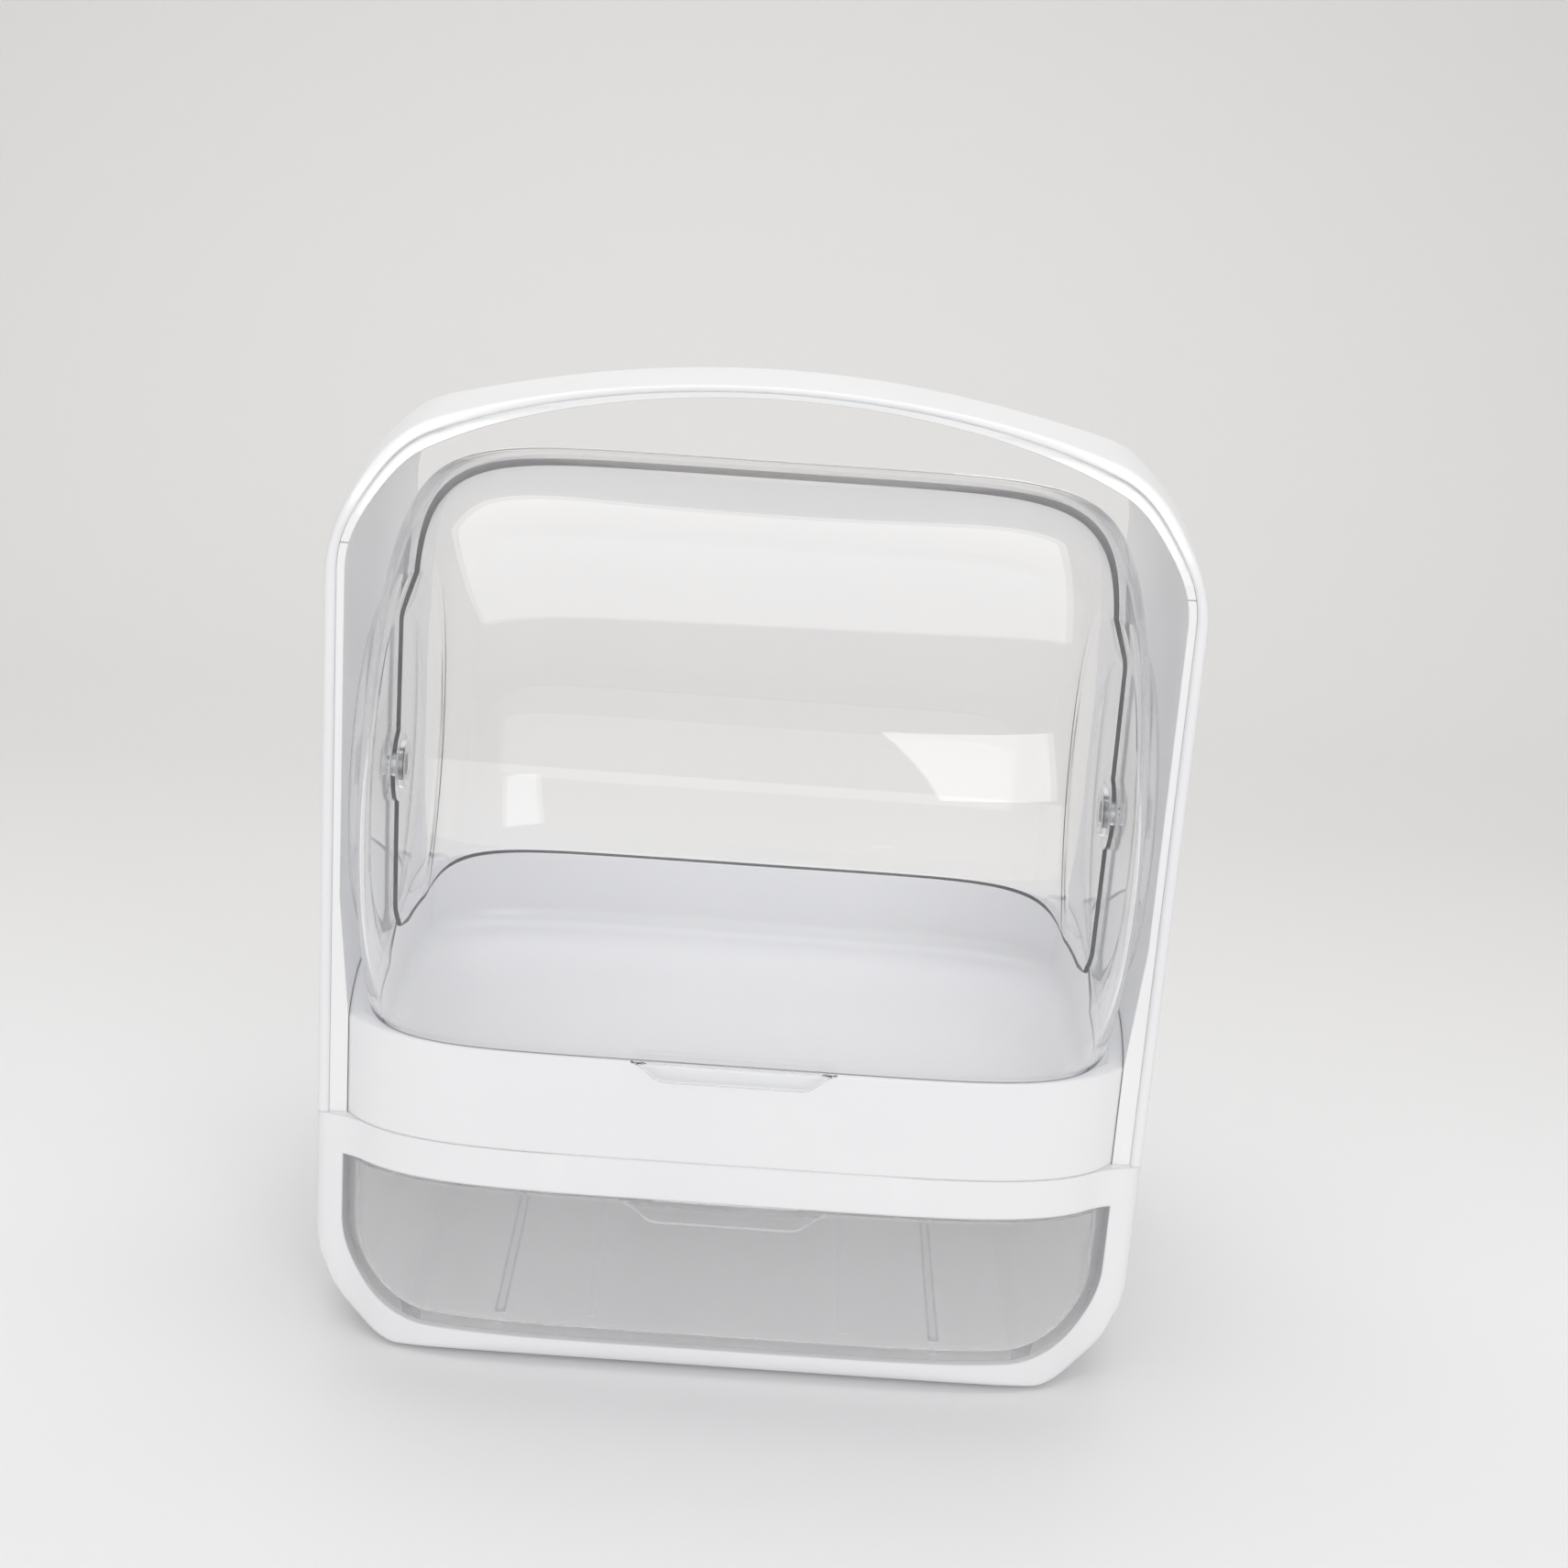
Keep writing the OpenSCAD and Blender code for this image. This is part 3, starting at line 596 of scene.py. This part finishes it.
def rounded_edges(obj, width):
    """Bevels the sharp edges of a simple solid."""
    bevel = obj.modifiers.new("edges", "BEVEL")
    bevel.width = width * MM
    bevel.segments = 3
    bevel.limit_method = "ANGLE"
    bevel.angle_limit = math.radians(35)
    combine(obj, [], "UNION")


def score(obj, z):
    """Cuts an edge loop into the mesh at height z."""
    bm = bmesh.new()
    bm.from_mesh(obj.data)
    bmesh.ops.bisect_plane(bm, geom=bm.verts[:] + bm.edges[:] + bm.faces[:], plane_co=(0, 0, z * MM),
                           plane_no=(0, 0, 1))
    bm.to_mesh(obj.data)
    bm.free()


def join_into(target, other):
    """Adds the other object's mesh to the target."""
    bm = bmesh.new()
    bm.from_mesh(target.data)
    bm.from_mesh(other.data)
    bm.to_mesh(target.data)
    bm.free()
    bpy.data.objects.remove(other)


def dressed_hoods():
    front = hood_shell("front_hood_dressed", 0.0, 0.0, 1)
    skirt_z = RIM_Z + RIM_GAP
    lip_z = RIM_Z + LIP_CLEAR
    edge_z = skirt_z - 0.04
    tab = tab_prism("front_tab", edge_z, -HALF_D - TAB_STANDOFF - TAB_T, TAB_T)
    root = box_mesh("tab_root", (-TAB_W / 2, -HALF_D - 1.0, lip_z), (TAB_W / 2, -HALF_D + 2.2, edge_z))
    combine(tab, [root], "UNION")
    rounded_edges(tab, TAB_EDGE_R)
    join_into(front, tab)
    # edge loop that bounds the painted shade band along the hood's lower edge
    score(front, skirt_z + RIM_SHADE_BAND)
    dress(front, "front_hood", "front_hood", clear_hood)
    # painted shade: the faces of that band get the dark glass, drawing the dark line where the hood meets the
    # tray's rim
    second_material(front, hood_rim_painted_shade, lambda c, n: skirt_z - 0.03 < c.z / MM < skirt_z + RIM_SHADE_BAND)
    # painted shade: the tab's bottom and side faces get the greyer glass for their dark edge line
    second_material(front, tab_edge_painted_shade, lambda c, n: c.y < -(HALF_D + 0.5) * MM and c.z < (RIM_Z - 0.1) * MM
                    and abs(n.y) < 0.6)
    rear = hood_shell("rear_hood_dressed", NEST_X, NEST_R, -1)
    edge_y = math.sqrt((HOOD_R - NEST_R) ** 2 - (PIVOT_Z - RIM_Z - RIM_GAP) ** 2)
    lip = box_mesh("rear_lip", (-TAB_W / 2, edge_y - 2.2, lip_z), (TAB_W / 2, edge_y + 1.2, edge_z))
    join_into(rear, lip)
    dress(rear, "rear_hood", "rear_hood", clear_hood)


# ---- tray: superellipse tub with a rounded rim and a rounded floor edge

def plan_point(a, half_w, half_d):
    """Point of the superellipse that the tray and the housing share."""
    c, s = math.cos(a), math.sin(a)
    return (half_w * math.copysign(abs(c) ** (2 / PLAN_POWER), c),
            half_d * math.copysign(abs(s) ** (2 / PLAN_POWER), s))


def plan_ring(inset, z, samples=288):
    ring = []
    for i in range(samples):
        x, y = plan_point(2 * math.pi * i / samples, PLAN_HALF_W - inset, HALF_D - inset)
        limit = math.sqrt(BULGE_R ** 2 - y * y) - (BULGE_R - TRAY_HALF_W + inset)
        ring.append((max(-limit, min(limit, x)), y, z))
    return ring


def dressed_tray():
    rim_r, foot_r, lip_r = 1.3, 9.0, 0.9
    floor_z = SEAM_Z + TRAY_FLOOR
    rings = [plan_ring(HOUSING_WALL, SEAM_Z + 2.5), plan_ring(HOUSING_WALL, SEAM_Z)]
    rings += [plan_ring(0.35, SEAM_Z), plan_ring(0.0, SEAM_Z + 0.35), plan_ring(0.0, (SEAM_Z + RIM_Z) / 2)]
    rings += [plan_ring(rim_r - r, RIM_Z - rim_r + h) for r, h in arc(0, 0, rim_r, 0, 90, 6)]
    inner = TRAY_WALL - lip_r
    rings += [plan_ring(inner + r, RIM_Z - lip_r + h) for r, h in arc(0, 0, lip_r, 90, 0, 5)]
    rings += [plan_ring(TRAY_WALL + foot_r - r, floor_z + foot_r + h)
              for r, h in arc(0, 0, foot_r, 0, -90, 12)]
    tray = mesh_object("tray_dressed", [p for ring in rings for p in ring],
                       capped_rings(len(rings), len(rings[0])))
    dress(tray, "tray", "root", white_shell)


# ---- drawer: U-shaped tub behind a curved front

def front_y(x, inset):
    """Depth of the curved front at x."""
    share = min(abs(x) / (PLAN_HALF_W - inset), 0.9999)
    return -(DRAWER_FRONT - inset) * (1 - share ** PLAN_POWER) ** (1 / PLAN_POWER)


def u_samples(half, z0, r):
    """Lower edge of the U from left to right."""
    left = [(x, z) for x, z in arc(r - half, z0 + r, r, 180, 270, 22)]
    flat = [(x, z0) for x in span(r - half, half - r, 26)][1:-1]
    return left + flat + [(-x, z) for x, z in reversed(left)]


def u_loft(name, half, z0, z1, r, layers):
    """Closed U solid; each layer is (inset of the outline, depth as a function of x)."""
    points = []
    for inset, depth in layers:
        lower = u_samples(half - inset, z0 + inset, r - inset)
        top = z1 - inset
        points += [(x, depth(x), z) for x, z in lower]
        points += [(x, depth(x), top) for x, z in reversed(lower)]
    columns = 2 * len(lower)
    faces = grid_faces(len(layers), columns, wrap=True)
    for start in (0, (len(layers) - 1) * columns):
        for i in range(len(lower) - 1):
            a, b = start + i, start + columns - 1 - i
            faces.append((a, a + 1, b - 1, b))
    return mesh_object(name, points, faces)


def rear_y(x, half, back, r):
    """Depth of the back at x, with round corners seen from above."""
    past = max(0.0, min(abs(x) - (half - r), r))
    return back - r + math.sqrt(r * r - past * past)


def rounded_layers(front, back, r):
    """Layers with rounded edges between a curved front and a back, both given as functions of x."""
    steps = [(r * (1 - math.sin(a)), r * (1 - math.cos(a))) for a in
             [math.pi / 2 * k / 4 for k in range(5)]]
    layers = [(inset, lambda x, d=back_off: front(x) + d) for inset, back_off in steps]
    layers.append((0.0, lambda x: back(x) - r))
    layers += [(inset, lambda x, d=back_off: back(x) - d) for inset, back_off in reversed(steps[:-1])]
    return layers


def dressed_drawer():
    wall, floor_z = DRAWER_WALL, DRAWER_Z + DRAWER_WALL
    tub = u_loft("drawer_dressed", DRAWER_HALF_W, DRAWER_Z, DRAWER_TOP_Z, DRAWER_R,
                 rounded_layers(lambda x: front_y(x, 0.0),
                                lambda x: rear_y(x, DRAWER_HALF_W, DRAWER_BACK, REAR_R), DRAWER_EDGE_R))
    side = DRAWER_SIDE_WALL
    hollow = u_loft("drawer_hollow", DRAWER_HALF_W - side, floor_z, DRAWER_TOP_Z + 12, DRAWER_R - wall,
                    rounded_layers(lambda x: front_y(x, DRAWER_FRONT_WALL),
                                   lambda x: rear_y(x, DRAWER_HALF_W - side, DRAWER_BACK - wall,
                                                    REAR_R - wall), DRAWER_INNER_EDGE_R))
    combine(tub, [hollow], "DIFFERENCE")
    first, last = CHANNEL_FRONT, CHANNEL_BACK
    ribs = [box_mesh("rib", (sx * RIB_X - RIB_HALF_W, first, floor_z - 0.8),
                     (sx * RIB_X + RIB_HALF_W, last, floor_z + 0.6)) for sx in (-1, 1)]
    ribs += [box_mesh("rib", (x - CHANNEL_LINE_HALF_W, first, floor_z - 0.6),
                      (x + CHANNEL_LINE_HALF_W, last, floor_z + 0.7))
             for x in [sx * CHANNEL_X + dx for sx in (-1, 1) for dx in (-CHANNEL_LINE_X, CHANNEL_LINE_X)]]
    ribs.append(tab_prism("drawer_tab", DRAWER_TOP_Z, -DRAWER_FRONT - DRAWER_TAB_REACH, DRAWER_TAB_T))
    combine(tub, ribs, "UNION")
    grooves = [box_mesh("groove", (sx * CHANNEL_X - CHANNEL_HALF_W, first, DRAWER_Z - 1),
                        (sx * CHANNEL_X + CHANNEL_HALF_W, last, DRAWER_Z + CHANNEL_DEPTH))
               for sx in (-1, 1)]
    combine(tub, grooves, "DIFFERENCE")
    dress(tub, "drawer", "drawer", clear_drawer)
    outer_x, outer_z = (DRAWER_HALF_W - 0.2) * MM, (DRAWER_Z + 0.2) * MM

    def outside(c, n):
        at_corner = abs(n.x) > 0.3 and n.z < -0.2 and n.x * c.x > 0
        return c.y > FROSTED_FROM_Y * MM and (abs(c.x) > outer_x or c.z < outer_z or at_corner)

    def on_floor(c):
        return (floor_z + 0.05) * MM < c.z < (floor_z + 1) * MM

    second_material(tub, frosted_drawer, outside)
    # painted highlight: the tops of the floor ribs get the milky glass for their light lines
    second_material(tub, rib_line_painted_highlight,
                    lambda c, n: on_floor(c) and abs(abs(c.x / MM) - RIB_X) < RIB_HALF_W + 0.1)
    # painted shade: the ridges beside the guide channels get the dark glass for their dark lines
    second_material(tub, channel_line_painted_shade,
                    lambda c, n: on_floor(c) and abs(abs(abs(c.x / MM) - CHANNEL_X) - CHANNEL_LINE_X) < 0.45)


# ---- lower housing: one soft body with the drawer's bay, the recess and the feet's seats cut out

def ease(low, high, v):
    """Smooth step from 0 at low to 1 at high."""
    t = max(0.0, min(1.0, (v - low) / (high - low)))
    return t * t * (3 - 2 * t)


def soft_max(a, b, k):
    """The larger of two values, rounded where they differ by less than k; a negative k gives the smaller."""
    rise = max(abs(k) - abs(a - b), 0.0) ** 2 / (4 * abs(k))
    return max(a, b) + rise if k > 0 else min(a, b) - rise


def base_plan(samples=480):
    """Outline of the housing from above: the frame's bulged strip flowing into the tray's front and back."""
    outline = []
    for i in range(samples):
        a = 2 * math.pi * i / samples
        c, s = math.cos(a), math.sin(a)
        soft = (abs(c / PLAN_HALF_W) ** PLAN_POWER + abs(s / HALF_D) ** PLAN_POWER) ** (-1 / PLAN_POWER)
        side = HALF_W - 0.02
        for _ in range(3):
            y = min(abs(side * s / max(abs(c), 1e-6)), FRAME_HALF_D)
            side = bulged_x(HALF_W, y) - 0.02
        strip = soft_max(side / max(abs(c), 1e-6), FRAME_HALF_D / max(abs(s), 1e-6), -8)
        reach = soft_max(soft, strip, 1 + 11 * ease(*STRIP_BLEND_Y, abs(soft * s)))
        outline.append((reach * c, reach * s))
    return outline


def corner_inset(z, wide, tall):
    """How far the rounded lower corner, seen from the front, stands in from the side at height z."""
    up = max(0.0, min(1.0, (BASE_Z + tall - z) / tall))
    return wide * (1 - (1 - up ** CORNER_POWER) ** (1 / CORNER_POWER))


def base_levels():
    """(height, shrink of the depth) from the base up to the joint."""
    tall = BASE_CORNER_Z + SIDE_CORNER_MORE
    heights = [BASE_Z + tall * (1 - math.cos(math.radians(a))) for a in span(0, 90, 36)]
    heights = [h for h in heights if h < SEAM_Z - 1] + [SEAM_Z - 0.4, SEAM_Z]
    levels = []
    for z in heights:
        down = max(0.0, BASE_EDGE_R - (z - BASE_Z))
        levels.append((z, BASE_EDGE_R - math.sqrt(max(BASE_EDGE_R ** 2 - down ** 2, 0.0))))
    return levels


def cylinder_mesh(name, start, end, r):
    """Round bar between two points along one axis."""
    begin, finish = Vector(start), Vector(end)
    along = (finish - begin).normalized()
    side = along.orthogonal().normalized()
    other = along.cross(side)
    angles = [2 * math.pi * k / BAR_SAMPLES for k in range(BAR_SAMPLES)]
    points = [tuple(c + side * (r * math.cos(a)) + other * (r * math.sin(a)))
              for c in (begin, finish) for a in angles]
    return mesh_object(name, points, capped_rings(2, BAR_SAMPLES))


def plan_prism(name, half_w, half_d, low_z, high_z):
    """Upright prism over a superellipse."""
    ring = [plan_point(2 * math.pi * i / PLAN_SAMPLES, half_w, half_d) for i in range(PLAN_SAMPLES)]
    return mesh_object(name, [(x, y, z) for z in (low_z, high_z) for x, y in ring],
                       capped_rings(2, PLAN_SAMPLES))


def soft_clip(v, limit, soft):
    """Clips v to the limit with a rounded shoulder."""
    share = abs(v) / limit
    if soft > 1e-4 and share > 1 - soft:
        share = 1 - soft + soft * math.tanh((share - 1 + soft) / soft)
    return math.copysign(min(share, 1.0) * limit, v)


def dressed_housing():
    outline, levels = base_plan(), base_levels()
    points = []
    for z, deep in levels:
        lip = 0.4 if z == SEAM_Z else 0.0
        for x, y in outline:
            more = SIDE_CORNER_MORE * (1 - ease(*CORNER_FADE_Y, abs(y)))
            across = lip + corner_inset(z, BASE_CORNER_X + more / 2, BASE_CORNER_Z + more)
            points.append((soft_clip(x, HALF_W - across, min(0.05, across / HALF_W)),
                           soft_clip(y, HALF_D - lip - deep, min(0.04, deep / HALF_D)), z))
    body = mesh_object("lower_housing_dressed", points, capped_rings(len(levels), len(outline)))
    bay = u_loft("bay", BAY_HALF_W, BAY_Z, BAY_TOP_Z, BAY_R,
                 [(0.0, lambda x: -HALF_D - 30),
                  (0.0, lambda x: rear_y(x, BAY_HALF_W, BAY_BACK, REAR_R + 1))])
    hollow = plan_prism("well", BAY_HALF_W + 1, HALF_D - 3, BAY_TOP_Z + BAY_ROOF, SEAM_Z + 5)
    under = plan_prism("under", BAY_HALF_W - 26, HALF_D - 16, -5, BAY_Z - BAY_FLOOR)
    slots = [box_mesh("slot", (sx * TENON_X - SLOT_HALF_T, -SLOT_HALF_D, SEAM_Z - SLOT_DEPTH),
                      (sx * TENON_X + SLOT_HALF_T, SLOT_HALF_D, SEAM_Z + 5)) for sx in (-1, 1)]
    combine(body, [bay, hollow, under] + slots, "DIFFERENCE")
    feet = [(sx * (HALF_W - FOOT_IN_X), sy * (HALF_D - FOOT_IN_Y)) for sx in (-1, 1) for sy in (-1, 1)]
    bosses = [cylinder_mesh("boss", (x, y, BASE_Z), (x, y, BAY_Z - 2.5), FOOT_BOSS_R) for x, y in feet]
    combine(body, bosses, "UNION")
    seats = [cylinder_mesh("seat", (x, y, -2), (x, y, FOOT_SEAT_Z), FOOT_SEAT_R) for x, y in feet]
    for sx in (-1, 1):
        pin_x, pin_y = sx * CHANNEL_X, STOP_PIN_IN - HALF_D
        seats.append(cylinder_mesh("pin_seat", (pin_x, pin_y, BAY_Z - 2.4), (pin_x, pin_y, BAY_Z + 2),
                                   STOP_PIN_SEAT_R))
        for sy in (-1, 1):
            y, z = sy * TENON_Y, SEAM_Z - FRAME_SCREW_DROP
            seats.append(cylinder_mesh("head_seat", (sx * (BAY_HALF_W - 1), y, z),
                                       (sx * (BAY_HALF_W + 1.8), y, z), SCREW_SEAT_R))
            x, y = sx * TRAY_SCREW_X, sy * TRAY_SCREW_Y
            seats.append(cylinder_mesh("head_seat", (x, y, BAY_TOP_Z - 1), (x, y, BAY_TOP_Z + 1.8),
                                       SCREW_SEAT_R))
    combine(body, seats, "DIFFERENCE")
    dress(body, "lower_housing", "root", white_shell)


for node, material in NODE_MATERIALS.items():
    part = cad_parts[node]
    part.data.materials.clear()
    part.data.materials.append(material)
    smooth_by_angle(part)

dressed_carry_frame()
dressed_housing()
dressed_hoods()
dressed_tray()
dressed_drawer()


# ---- studio: floor, backdrop, light and camera -------------------------------------------------

def backdrop():
    """Pale table that curves up into a pale wall behind the object."""
    wall_y, curve_r, side, near_y, top_z = 1.25, 0.55, 14.0, -14.0, 5.0
    curve_steps = 16
    section = [(near_y, 0.0), (-0.6, 0.0), (0.3, 0.0), (wall_y - curve_r, 0.0)]
    for step in range(1, curve_steps + 1):
        a = math.pi / 2 * step / curve_steps
        section.append((wall_y - curve_r + curve_r * math.sin(a), curve_r - curve_r * math.cos(a)))
    section.append((wall_y, top_z))
    mesh = bpy.data.meshes.new("backdrop")
    bm = bmesh.new()
    columns = [[bm.verts.new((x, y, z)) for y, z in section] for x in (-side, side)]
    for i in range(len(section) - 1):
        bm.faces.new((columns[0][i], columns[1][i], columns[1][i + 1], columns[0][i + 1]))
    bm.to_mesh(mesh)
    bm.free()
    obj = bpy.data.objects.new("backdrop", mesh)
    scene.collection.objects.link(obj)
    n = Nodes("backdrop_paint")
    shader = n.add("ShaderNodeBsdfPrincipled")
    shader.inputs["Roughness"].default_value = 0.6
    shader.inputs["Specular IOR Level"].default_value = 0.2
    where = n.add("ShaderNodeTexCoord")
    split = n.add("ShaderNodeSeparateXYZ")
    n.link(where.outputs["Object"], split.inputs["Vector"])
    fade = n.add("ShaderNodeMapRange")
    fade.inputs["From Min"].default_value = 0.0
    fade.inputs["From Max"].default_value = 0.55
    n.link(split.outputs["Y"], fade.inputs["Value"])
    n.link(n.ramp(fade.outputs["Result"], (0.835, 0.835, 0.84), (0.712, 0.702, 0.69), 0.0, 1.0),
           shader.inputs["Base Color"])
    n.link(shader.outputs["BSDF"], n.output.inputs["Surface"])
    mesh.materials.append(n.material)
    smooth_by_angle(obj)


def area_light(name, place, aim, size, power):
    data = bpy.data.lights.new(name, "AREA")
    data.shape = "RECTANGLE"
    data.size, data.size_y = size
    data.energy = power
    obj = bpy.data.objects.new(name, data)
    scene.collection.objects.link(obj)
    obj.location = place
    obj.rotation_euler = (Vector(aim) - Vector(place)).to_track_quat("-Z", "Y").to_euler()


def studio_world(light_level):
    world = bpy.data.worlds.new("studio")
    world.use_nodes = True
    scene.world = world
    background = world.node_tree.nodes["Background"]
    background.inputs["Color"].default_value = (1, 1, 1, 1)
    background.inputs["Strength"].default_value = light_level


def photo_camera():
    """Camera that stands in front of the object, looks down at it and is rolled like the photograph."""
    image_px = 1711
    focal_px = 2737
    sensor_mm = 36.0
    pitch = math.radians(18.3)
    roll = math.radians(3.93)
    centre_shift_px = (32.9, -2.3)
    place = Vector((0.0, -0.876, 0.479))
    data = bpy.data.cameras.new("camera")
    data.sensor_width = sensor_mm
    data.lens = focal_px / image_px * sensor_mm
    data.shift_x = centre_shift_px[0] / image_px
    data.shift_y = centre_shift_px[1] / image_px
    data.clip_start = 0.01
    obj = bpy.data.objects.new("camera", data)
    scene.collection.objects.link(obj)
    look = Vector((0, math.cos(pitch), -math.sin(pitch)))
    side = Vector((1, 0, 0))
    up = Vector((0, math.sin(pitch), math.cos(pitch)))
    right = side * math.cos(roll) + up * math.sin(roll)
    top = up * math.cos(roll) - side * math.sin(roll)
    obj.matrix_world = Matrix((
        (right.x, top.x, -look.x, place.x),
        (right.y, top.y, -look.y, place.y),
        (right.z, top.z, -look.z, place.z),
        (0, 0, 0, 1)))
    scene.camera = obj


backdrop()
area_light("overhead_softbox", (-0.05, 0.34, 1.55), (0, 0.1, 0.2), (1.5, 1.7), 11.5)
area_light("window_softbox", (0.46, -1.35, 0.98), (0, 0, 0.2), (0.62, 0.6), 2.6)
area_light("front_card", (-0.1, -1.7, 0.3), (0, 0, 0.1), (2.6, 1.0), 7.3)
studio_world(0.68)
photo_camera()
scene.view_settings.view_transform = "Standard"
scene.cycles.max_bounces = 20
scene.cycles.diffuse_bounces = 8
scene.cycles.transmission_bounces = 20
scene.cycles.transparent_max_bounces = 40
